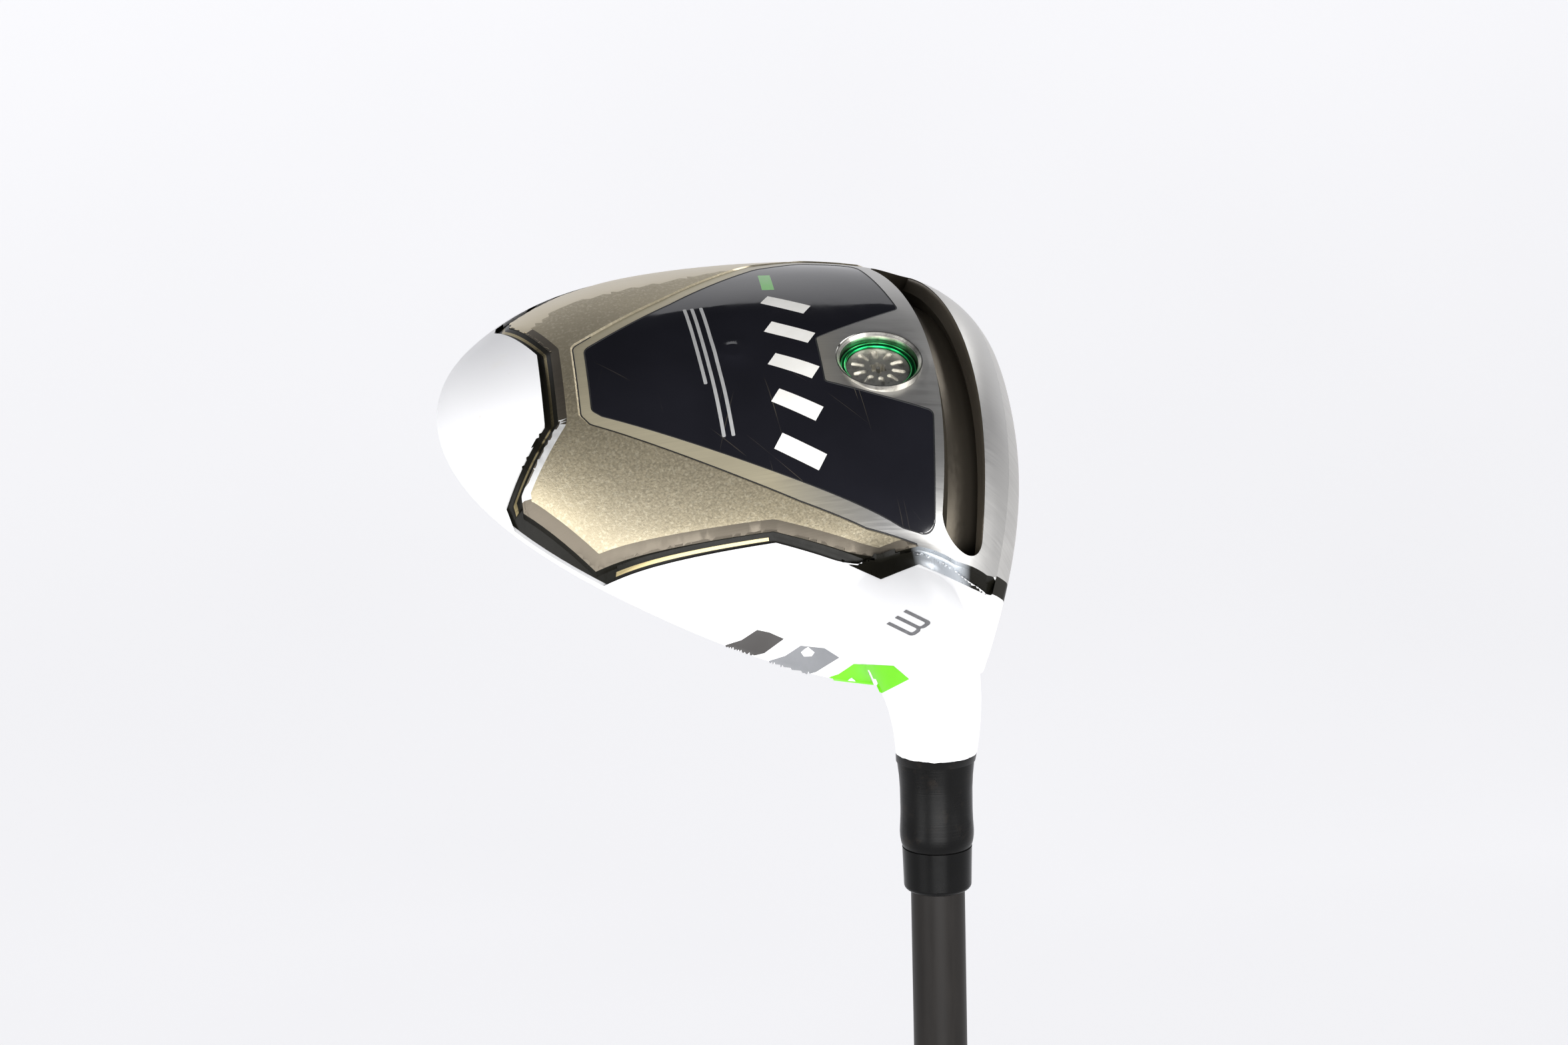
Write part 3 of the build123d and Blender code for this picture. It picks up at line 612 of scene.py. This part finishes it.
FLASH_DARK = plain_finish("flash_dark", (0.016, 0.014, 0.013), (0.028, 0.024, 0.022), 0.45)
FLASH_SILVER = plain_finish("flash_silver", (0.15, 0.155, 0.165), (0.22, 0.225, 0.24), 0.45)
NUMBER_PAINT = plain_finish("number_grey", (0.09, 0.09, 0.095), (0.26, 0.26, 0.27), 0.45, 0.0, 1500.0)
CHIP = plain_finish("chip_undercoat", (0.70, 0.71, 0.72), (0.86, 0.86, 0.86), 0.5)
SHAFT = shaft_lacquer()
RUBBER = grip_rubber()
INNER = plain_finish("inner_fill", (0.45, 0.38, 0.22), (0.60, 0.52, 0.33), 0.5)
BRASS = plain_finish("pin_brass", (0.52, 0.36, 0.12), (0.66, 0.48, 0.20), 0.3, 1.0)

LOOKS = {
    "crown_shell": WHITE, "face_cup": WHITE_CUP, "sole_badge": BADGE, "badge_tape": INNER,
    "badge_emblem": EMBLEM, "badge_accent": ACCENT, "weight_port": PORT, "weight_ring": RING,
    "weight_screw": SCREW, "rattle_glue": INNER, "shaft_bond": INNER, "ferrule": FERRULE, "tip_pin": BRASS,
    "shaft": SHAFT, "grip_tape": INNER, "grip": RUBBER, "grip_cap": RUBBER,
}
for name, material in LOOKS.items():
    mesh = nodes[name].data
    mesh.materials.clear()
    mesh.materials.append(material)

# ------------------------------------------------------------------ sole outlines, as in the CAD
PAINT_EDGE = [
    (16.0, 38.0), (14.6, 19.4), (12.1, 14.1), (11.2, 8.7), (11.4, 1.4), (9.2, -5.7), (15.4, -22.5),
    (16.6, -53.0), (27.5, -65.2), (31.0, -66.5), (40.9, -59.1), (58.2, -59.1), (73.0, -65.6),
    (76.5, -65.2), (86.0, -55.0), (93.0, -43.0), (98.0, -28.0), (99.5, -10.0), (96.0, 8.0), (96.0, 38.0),
]
PANEL_EDGE = [
    (17.0, 40.0), (16.2, 19.4), (13.8, 14.2), (12.7, 8.0), (13.1, 1.4), (10.9, -5.6), (17.0, -22.8),
    (18.3, -52.3), (28.8, -63.6), (31.0, -63.8), (40.4, -56.8), (58.0, -56.8), (72.0, -63.0),
    (75.0, -62.8), (83.8, -53.4), (90.6, -42.0), (95.3, -28.0), (96.8, -10.0), (93.6, 7.0), (93.6, 40.0),
]
BADGE_EDGE = [
    (41.7, -51.0), (57.0, -51.0), (68.6, -34.7), (83.6, -17.0), (87.4, -8.0), (85.6, 1.8), (62.9, 5.6),
    (53.6, -10.8), (42.6, -10.8), (36.0, 7.2), (14.6, 4.4), (15.6, -1.0), (40.2, -49.4),
]
BADGE_CORNERS = [1.4, 2.0, 6.0, 6.0, 4.0, 4.0, 1.2, 0.8, 0.8, 1.2, 2.8, 2.0, 1.4]
FRAME_EDGE = [
    (13.3, 1.2), (15.6, -7.3), (20.7, -18.0), (26.4, -28.6), (32.2, -39.3), (38.9, -51.6), (41.0, -53.0),
    (58.2, -53.0), (70.6, -36.0), (86.2, -17.8), (90.2, -7.0), (88.6, 3.5),
]
# Crease along the toe, where the panels turn down to a smooth bevel.
CREASE = [
    (62.0, -63.5), (65.3, -61.0), (74.6, -53.4), (76.6, -46.4), (79.3, -34.0), (82.0, -26.3), (88.0, -8.0),
]
SLOT_START, SLOT_MIDDLE, SLOT_END, SLOT_HALF = (17.8, 9.9), (51.0, 12.9), (84.0, 8.6), 3.7


def slot_path(count=80):
    """Points along the arc through the slot's three centres."""
    (ax, ay), (bx, by), (cx, cy) = SLOT_START, SLOT_MIDDLE, SLOT_END
    d = 2 * (ax * (by - cy) + bx * (cy - ay) + cx * (ay - by))
    ux = ((ax**2 + ay**2) * (by - cy) + (bx**2 + by**2) * (cy - ay) + (cx**2 + cy**2) * (ay - by)) / d
    uy = ((ax**2 + ay**2) * (cx - bx) + (bx**2 + by**2) * (ax - cx) + (cx**2 + cy**2) * (bx - ax)) / d
    r = math.hypot(ax - ux, ay - uy)
    a0 = math.atan2(ay - uy, ax - ux)
    a1 = math.atan2(cy - uy, cx - ux)
    return np.array([(ux + r * math.cos(a), uy + r * math.sin(a)) for a in np.linspace(a0, a1, count)])


SLOT_LINE = slot_path()


def slot_ring(reach):
    """The outline at a distance from the slot's centre line."""
    step = np.gradient(SLOT_LINE, axis=0)
    side = np.stack([-step[:, 1], step[:, 0]], 1) / np.linalg.norm(step, axis=1)[:, None]
    left, right = SLOT_LINE + side * reach, SLOT_LINE - side * reach
    caps = []
    for end, out in ((SLOT_LINE[-1], step[-1]), (SLOT_LINE[0], -step[0])):
        a0 = math.atan2(out[1], out[0])
        caps.append([end + reach * np.array([math.cos(a0 + t), math.sin(a0 + t)])
                     for t in np.linspace(-math.pi / 2, math.pi / 2, 14)[1:-1]])
    ring = np.vstack([right, caps[0], left[::-1], caps[1]])
    return resample(list(ring), 0.8)


badge_path = rounded(BADGE_EDGE, BADGE_CORNERS)
paint_path = resample([np.array(p) for p in PAINT_EDGE], 0.8)
panel_path = resample([np.array(p) for p in PANEL_EDGE], 0.8)

# ------------------------------------------------------------------ the head body's own faces
body = nodes["head_body"].data
body.materials.clear()
for material in (WHITE_HOSEL, SILVER, GROOVE, SLOT, RIM):
    body.materials.append(material)
PAINTED, FRAMED, GROOVED, SLOTTED, RIMMED = range(5)
corners = np.array([v.co[:] for v in body.vertices])
heads = to_head(corners)
middles = np.array([heads[list(p.vertices)].mean(0) for p in body.polygons])
normals = np.array([p.normal[:] for p in body.polygons]) @ TO_ROW
plan = middles[:, :2]
in_paint = inside(paint_path, plan)
in_panel = inside(panel_path, plan)
slot_gap = line_distance(SLOT_LINE, plan, closed=False)
depth_at = np.full(len(plan), 99.0)
facing = (normals[:, 2] < -0.15) & in_paint & (middles[:, 2] < 34)
for i in np.where(in_paint)[0]:
    z = sole_height(body_tree, plan[i, 0], plan[i, 1])
    depth_at[i] = 99.0 if z is None else abs(middles[i, 2] - z)
seen = facing & (depth_at < 0.05)
index = np.full(len(plan), PAINTED)
index[seen & in_panel] = FRAMED
index[seen & ~in_panel & in_paint] = GROOVED
walls = in_paint & (depth_at < 1.6) & (middles[:, 2] < 34) & ~seen
index[walls] = GROOVED
touching = line_distance(panel_path, heads[:, :2]) < 0.4
on_edge = np.array([touching[list(p.vertices)].any() for p in body.polygons])
index[(index == FRAMED) & on_edge & (plan[:, 1] < 0.0)] = RIMMED
index[(slot_gap < SLOT_HALF + 0.03) & (middles[:, 2] < 22)] = SLOTTED
body.polygons.foreach_set("material_index", index)
body.update()

# ------------------------------------------------------------------ sole details
# Groove: a polished lining that falls from the paint edge and climbs to the panels.
paint_ring, panel_ring = [], []
for i in range(len(PAINT_EDGE) - 1):
    a0, a1 = np.array(PAINT_EDGE[i]), np.array(PAINT_EDGE[i + 1])
    b0, b1 = np.array(PANEL_EDGE[i]), np.array(PANEL_EDGE[i + 1])
    n = max(2, int(np.linalg.norm(a1 - a0) / 0.9))
    for k in range(n):
        a, b = a0 + (a1 - a0) * k / n, b0 + (b1 - b0) * k / n
        paint_ring.append(a)
        panel_ring.append(b)
profile = ((0.015, -0.72), (0.26, -0.74), (0.50, -0.64), (0.70, -0.40), (0.84, -0.18), (0.99, 0.06))
count = len(paint_ring)
verts, faces = [], []
landed = np.ones(count, bool)
for share, level in profile:
    line = np.array([a + (b - a) * share for a, b in zip(paint_ring, panel_ring)])
    probe = np.array([a + (b - a) * min(0.9, max(0.1, share)) for a, b in zip(paint_ring, panel_ring)])
    landed &= np.array([sole_height(body_tree, x, y) is not None for x, y in probe]) & (line[:, 1] < 15.0)
    verts += [tuple(p) for p in to_row(np.column_stack([line, on_body(probe) - 0.8 - level]))]
for r in range(len(profile) - 1):
    for k in range(count - 1):
        if landed[k] and landed[k + 1]:
            a, b = r * count + k, (r + 1) * count + k
            faces.append((a, a + 1, b + 1, b))
# The lining's near-black colour is a painted dark reflection.
lining = mesh_object("groove_lining", verts, faces, GROOVE, sharp=50.0)
lining.data.materials.append(GLINT)
# A gold strip along the middle row of the lining, at the back of the sole, is a painted highlight.
rows = [min(f) // count for f in faces]
shine = [row == 2 and paint_ring[min(f) % count][1] < -23.0 for row, f in zip(rows, faces)]
lining.data.polygons.foreach_set("material_index", [int(lit) for lit in shine])
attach(lining, "root")

# Bronze panels: one raised band round the frame, with a bevelled outer edge.
band = PANEL_EDGE[4:19] + FRAME_EDGE[::-1]
band_path = rounded(band, [0.0, 1.5, 4.0, 2.0, 1.0, 1.0, 1.5, 1.5, 2.0, 2.0, 3.0, 6.0, 6.0, 6.0, 0.0]
                    + [0.0, 2.0, 5.0, 6.0, 1.8, 1.8] + [1.0] * 6, 0.7)
panel_line = resample([np.array(p) for p in PANEL_EDGE], 0.7)


def beyond_crease(flat):
    """Toe-ward of the crease."""
    loop = CREASE + [(130.0, -8.0), (130.0, -90.0), (62.0, -90.0)]
    return inside(loop, flat)


def panel_height(flat):
    edge = line_distance(panel_line, flat)
    rim = line_distance(band_path, flat)
    level = np.interp(edge, (0.0, 0.25, 1.35, 1.7), (0.06, 0.11, 0.32, 0.34))
    level = np.minimum(level, np.interp(rim, (0.0, 0.35), (0.02, 0.34)))
    fall = np.where(beyond_crease(flat), line_distance(CREASE, flat, closed=False), 0.0)
    return np.minimum(level, np.interp(fall, (0.0, 6.0), (0.34, 0.06)))


band_inner = inset(band_path, 0.35)
band_bevel = inset(band_path, 1.5)
panels = skin_sheet("bronze_panels", band_path, [], [band_inner, band_bevel], panel_height, BRONZE, on_body,
                    1.5)
for material in (PAINTED_EDGE_HIGHLIGHT, BEVEL, RIM):
    panels.data.materials.append(material)
BLASTED, PAINTED_HIGHLIGHT_EDGE, BEVELLED, DARK_RIM = range(4)
mids = to_head([tuple(p.center) for p in panels.data.polygons])[:, :2]
rim_band = line_distance(panel_line, mids)
kind = np.full(len(mids), BLASTED)
kind[rim_band < 1.45] = DARK_RIM
kind[beyond_crease(mids)] = BEVELLED
# A stretch of the outer edge at the back of the sole, near the heel, is pale silver: a painted highlight.
kind[(rim_band < 1.5) & (mids[:, 0] < 41) & (mids[:, 1] < -56) & (mids[:, 0] > 30)] = PAINTED_HIGHLIGHT_EDGE
panels.data.polygons.foreach_set("material_index", kind)


def thin_line(name, path, width, lift, material, place, closed=True):
    """A narrow line laid on a surface."""
    path = np.asarray(path, float)
    if closed:
        step = np.roll(path, -1, axis=0) - np.roll(path, 1, axis=0)
    else:
        step = np.gradient(path, axis=0)
    side = np.stack([-step[:, 1], step[:, 0]], 1) / np.linalg.norm(step, axis=1)[:, None]
    rows = [path + side * width * share for share in (-0.5, -0.3, 0.3, 0.5)]
    lifts = (-0.05, lift, lift, -0.05)
    n = len(path)
    verts, faces = [], []
    for row, up in zip(rows, lifts):
        verts += [tuple(p) for p in to_row(np.column_stack([row, place(row) - up]))]
    last = n if closed else n - 1
    for r in range(3):
        for k in range(last):
            faces.append((r * n + k, r * n + (k + 1) % n, (r + 1) * n + (k + 1) % n, (r + 1) * n + k))
    obj = mesh_object(name, verts, faces, material)
    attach(obj, "root")
    return obj


chain = rounded(FRAME_EDGE, [0.0, 0, 0, 0, 0, 1.8, 1.8, 1.8, 6.0, 5.0, 2.0, 0.0], 0.7)
heel_end = int(np.argmin(((chain - np.array(FRAME_EDGE[0])) ** 2).sum(1)))
toe_end = int(np.argmin(((chain - np.array((60.5, -49.5))) ** 2).sum(1)))
chain = chain[heel_end:toe_end + 1]
# A dark line along the step between frame and panels, standing in for the step's shaded side: painted shade.
thin_line("frame_line", chain, 0.52, 0.05, LINE, on_body, closed=False)


def on_either(flat):
    """The outermost of the body and the badge."""
    low = []
    for x, y in flat:
        found = [h for tree in (body_tree, badge_tree) if (h := sole_height(tree, x, y)) is not None]
        low.append(min(found) if found else np.nan)
    low = np.array(low)
    low[np.isnan(low)] = np.nanmean(low)
    return low


thin_line("badge_gap", badge_path, 0.34, 0.04, LINE, on_either)

# Slot: soft lips and rounded sides round the cut one, whose own floor shows between them.
lips = ((4.15, -0.02), (3.95, 0.03), (3.72, -0.05), (3.55, -0.35), (3.40, -0.95), (3.15, -2.0), (2.7, -3.1))
slot_rings = [slot_ring(reach) for reach, _ in lips]


def slot_level(flat):
    away = line_distance(SLOT_LINE, flat, closed=False)
    reach = [r for r, _ in lips][::-1] + [9.0]
    level = [h for _, h in lips][::-1] + [-0.02]
    return np.interp(away, reach, level)


def on_slot(flat):
    """Skin height over the slot: the height just outside it, carried across."""
    away = line_distance(SLOT_LINE, flat, closed=False)
    nearest = SLOT_LINE[np.array([int(np.argmin(((SLOT_LINE - p) ** 2).sum(1))) for p in flat])]
    out = flat - nearest
    size = np.linalg.norm(out, axis=1)[:, None]
    side = np.where(size > 1e-6, out / np.maximum(size, 1e-6), np.array([[0.0, 1.0]]))
    one, two = nearest + side * 4.4, nearest - side * 4.4
    z1, z2 = on_body(one), on_body(two)
    t = np.clip(away / 8.8 + 0.5, 0, 1)
    return z1 * t + z2 * (1 - t)


skin_sheet("slot_lining", slot_rings[0], [slot_rings[-1]], slot_rings[1:-1], slot_level, SLOT, on_slot, 1.0,
           reach=84.5)

# Thin rules in place of lettering on the badge, each slightly slanted.
def strip(centre, length, width, turn):
    c, s = math.cos(math.radians(turn)), math.sin(math.radians(turn))
    box = [(x * length / 2, y * width / 2) for x, y in ((-1, -1), (1, -1), (1, 1), (-1, 1))]
    return [(centre[0] + c * x - s * y, centre[1] + s * x + c * y) for x, y in box]


for k, (y, length) in enumerate(((-28.6, 33.0), (-30.2, 33.0), (-31.8, 22.0))):
    path = rounded(strip((66.0 - length / 2, y), length, 0.62, -3.0), 0.2, 0.4)
    skin_sheet(f"badge_rule_{k}", path, [], [], lambda flat: np.full(len(flat), 0.03), RULE, on_badge, 1.0)

# The club's number, three bars joined by a spine, seen square on from below the heel.
HEEL_LOOK = (0.69, 0.19, 0.70)
NUMBER_AT = np.array((5.5, -0.6, 23.5))
ACROSS = np.array((-0.142, 0.988, -0.057))
DOWN = np.array((-0.674, -0.055, 0.737))
BAR = 0.897 * ACROSS + 0.443 * DOWN
STACK = 0.81 * ACROSS - 0.58 * DOWN
NUMBER = [
    (-2.3, -2.01), (2.45, -2.01), (2.45, -0.45), (2.1, 0.0), (2.45, 0.45), (2.45, 2.01), (-2.3, 2.01),
    (-2.3, 1.39), (1.8, 1.39), (1.8, 0.31), (-2.3, 0.31), (-2.3, -0.31), (1.8, -0.31), (1.8, -1.39),
    (-2.3, -1.39),
]
NUMBER_CORNERS = [0.05, 0.9, 0.5, 0.1, 0.5, 0.9, 0.05, 0.05, 0.3, 0.3, 0.05, 0.05, 0.3, 0.3, 0.05]
number = [NUMBER_AT + along * BAR + over * STACK for along, over in rounded(NUMBER, NUMBER_CORNERS, 0.3)]
decal("club_number", number, HEEL_LOOK, NUMBER_PAINT, 0.4)

# Paint on the heel is drawn in a plane across the view from below the heel, along ACROSS and DOWN.
VIEW = np.array((0.725, 0.143, 0.674))
VANTAGE = np.array((-310.0, -85.5, -294.5))


def on_view(points, depth):
    """Points of that plane, at a depth along VIEW."""
    return [a * ACROSS + d * DOWN + depth * VIEW for a, d in points]


def flash(tail, length):
    """A slanted flash: a tail that tapers off, and a head cut at an angle."""
    shape = [
        (0.0, 0.0), (3.2, -1.0), (5.8, -2.7), (length - 2.5, -2.3), (length, 0.24 * (length - 15.3)),
        (0.68 * length, 0.25 * (length - 5.5)), (0.49 * length, 0.33 * (length - 5.3)),
    ]
    return [(tail[0] + a, tail[1] + d) for a, d in shape]


FLASHES = (
    ("dark", FLASH_DARK, (-34.1, 17.3), 10.3, 17.3),
    ("silver", FLASH_SILVER, (-26.8, 20.0), 12.3, 18.3),
    ("green", FLASH_GREEN, (-17.8, 23.2), 14.8, 20.8),
)
for key, paint, tail, length, depth in FLASHES:
    outline = on_view(flash(tail, length), depth)
    decal(f"flash_{key}", outline, np.mean(outline, 0) - VANTAGE, paint, 0.4)

CHIP_RADII = (1.1, 0.9, 0.7, 1.0, 1.2, 0.8, 0.9, 0.7)
for key, middle, size in (("silver", (3.3, -18.0, 26.6), 1.0), ("green", (0.9, -10.6, 31.6), 0.6)):
    turns = np.linspace(0, 2 * math.pi, len(CHIP_RADII), endpoint=False)
    ring = [np.array(middle) + size * r * (math.cos(t) * ACROSS + math.sin(t) * DOWN)
            for t, r in zip(turns, CHIP_RADII)]
    decal(f"flash_chip_{key}", ring, np.array(middle) - VANTAGE, CHIP, 0.4, 0.12)

# The groove goes on round the foot of the neck.
HEEL_GROOVE = [
    (-13.4, 2.3), (-8.0, 3.2), (-1.7, 1.3), (9.9, 6.6), (10.2, 8.6), (-1.2, 3.7), (-7.5, 6.3), (-14.7, 3.0),
]
# It is a thin sheet on the neck's blend in the groove's colours: near black as a painted dark reflection,
# with the groove's painted highlight.
decal("heel_groove", on_view(HEEL_GROOVE, 17.0), HEEL_LOOK, GROOVE, 0.4, 0.08)

# ------------------------------------------------------------------ camera, light, stage
scene = bpy.context.scene
camera = bpy.data.cameras.new("camera")
camera.lens = 62.07
camera.sensor_width = 36.0
camera.clip_start = 0.01
eye = bpy.data.objects.new("camera", camera)
CAMERA_AT = Vector((-0.4187, 0.0856, 1.1839))
CAMERA_AIM = Vector((0.0300, 0.01953, 1.09747))
CAMERA_ROLL = math.radians(1.6)
straight = (CAMERA_AIM - CAMERA_AT).to_track_quat("-Z", "Y").to_matrix().to_4x4()
eye.matrix_world = Matrix.Translation(CAMERA_AT) @ straight @ Matrix.Rotation(-CAMERA_ROLL, 4, "Z")
scene.collection.objects.link(eye)
scene.camera = eye


def lamp(name, place, target, size, power):
    light = bpy.data.lights.new(name, "AREA")
    light.shape = "RECTANGLE"
    light.size, light.size_y = size
    light.energy = power
    obj = bpy.data.objects.new(name, light)
    obj.location = place
    obj.rotation_euler = (Vector(target) - Vector(place)).to_track_quat("-Z", "Y").to_euler()
    scene.collection.objects.link(obj)


aim = (0.03, 0.0, 1.11)
lamp("key", (-0.8, -0.9, 1.25), aim, (0.8, 0.7), 11.0)
lamp("side", (-0.6, 1.0, 1.15), aim, (0.6, 0.9), 8.0)
lamp("front", (-1.1, 0.1, 0.95), aim, (0.9, 0.5), 12.0)
lamp("strip", (0.43, -0.62, 1.80), aim, (0.30, 0.30), 1.6)

world = bpy.data.worlds.new("world")
scene.world = world
world.use_nodes = True
tree = world.node_tree
tree.nodes.clear()
out = tree.nodes.new("ShaderNodeOutputWorld")
sky = tree.nodes.new("ShaderNodeBackground")
coords = tree.nodes.new("ShaderNodeTexCoord")
split = tree.nodes.new("ShaderNodeSeparateXYZ")
ramp = tree.nodes.new("ShaderNodeValToRGB")
tree.links.new(coords.outputs["Generated"], split.inputs[0])
tree.links.new(split.outputs[2], ramp.inputs[0])
stops = ramp.color_ramp.elements
while len(stops) < 4:
    stops.new(0.5)
for stop, (at, color) in zip(stops, ((0.0, (0.92, 0.92, 0.94, 1)), (0.36, (0.50, 0.50, 0.53, 1)),
                                     (0.62, (0.11, 0.115, 0.13, 1)), (0.84, (0.022, 0.024, 0.03, 1)))):
    stop.position = at
    stop.color = color
tree.links.new(ramp.outputs[0], sky.inputs[0])
sky.inputs[1].default_value = 0.75
tree.links.new(sky.outputs[0], out.inputs[0])


def stage_material():
    """Pale paper that glows a little, so that it stays near white all the way back."""
    n = Nodes("stage_paper")
    cloud = n.noise(0.8, 2.0)
    n.set(Base_Color=n.mix(cloud, (0.40, 0.40, 0.41), (0.43, 0.43, 0.44)), Roughness=0.9,
          Emission_Color=n.mix(cloud, (0.84, 0.84, 0.86), (0.90, 0.90, 0.92)), Emission_Strength=0.80)
    return n.mat


# One sheet: a floor that curves up into a backdrop.
PAPER = stage_material()
profile = [(-4.0, 0.0), (3.0, 0.0)] + [(3.0 + 1.5 * math.sin(a), 1.5 - 1.5 * math.cos(a))
                                      for a in np.linspace(0.1, math.pi / 2, 14)] + [(4.5, 6.0)]
sheet_verts = [(x, y, z) for x, z in profile for y in (-6.0, 6.0)]
sheet_faces = [(2 * i, 2 * i + 2, 2 * i + 3, 2 * i + 1) for i in range(len(profile) - 1)]
floor = mesh_object("stage_floor", sheet_verts, sheet_faces, PAPER, sharp=60.0)
floor.location.z = -0.0005

scene.view_settings.view_transform = "Standard"
scene.view_settings.look = "None"
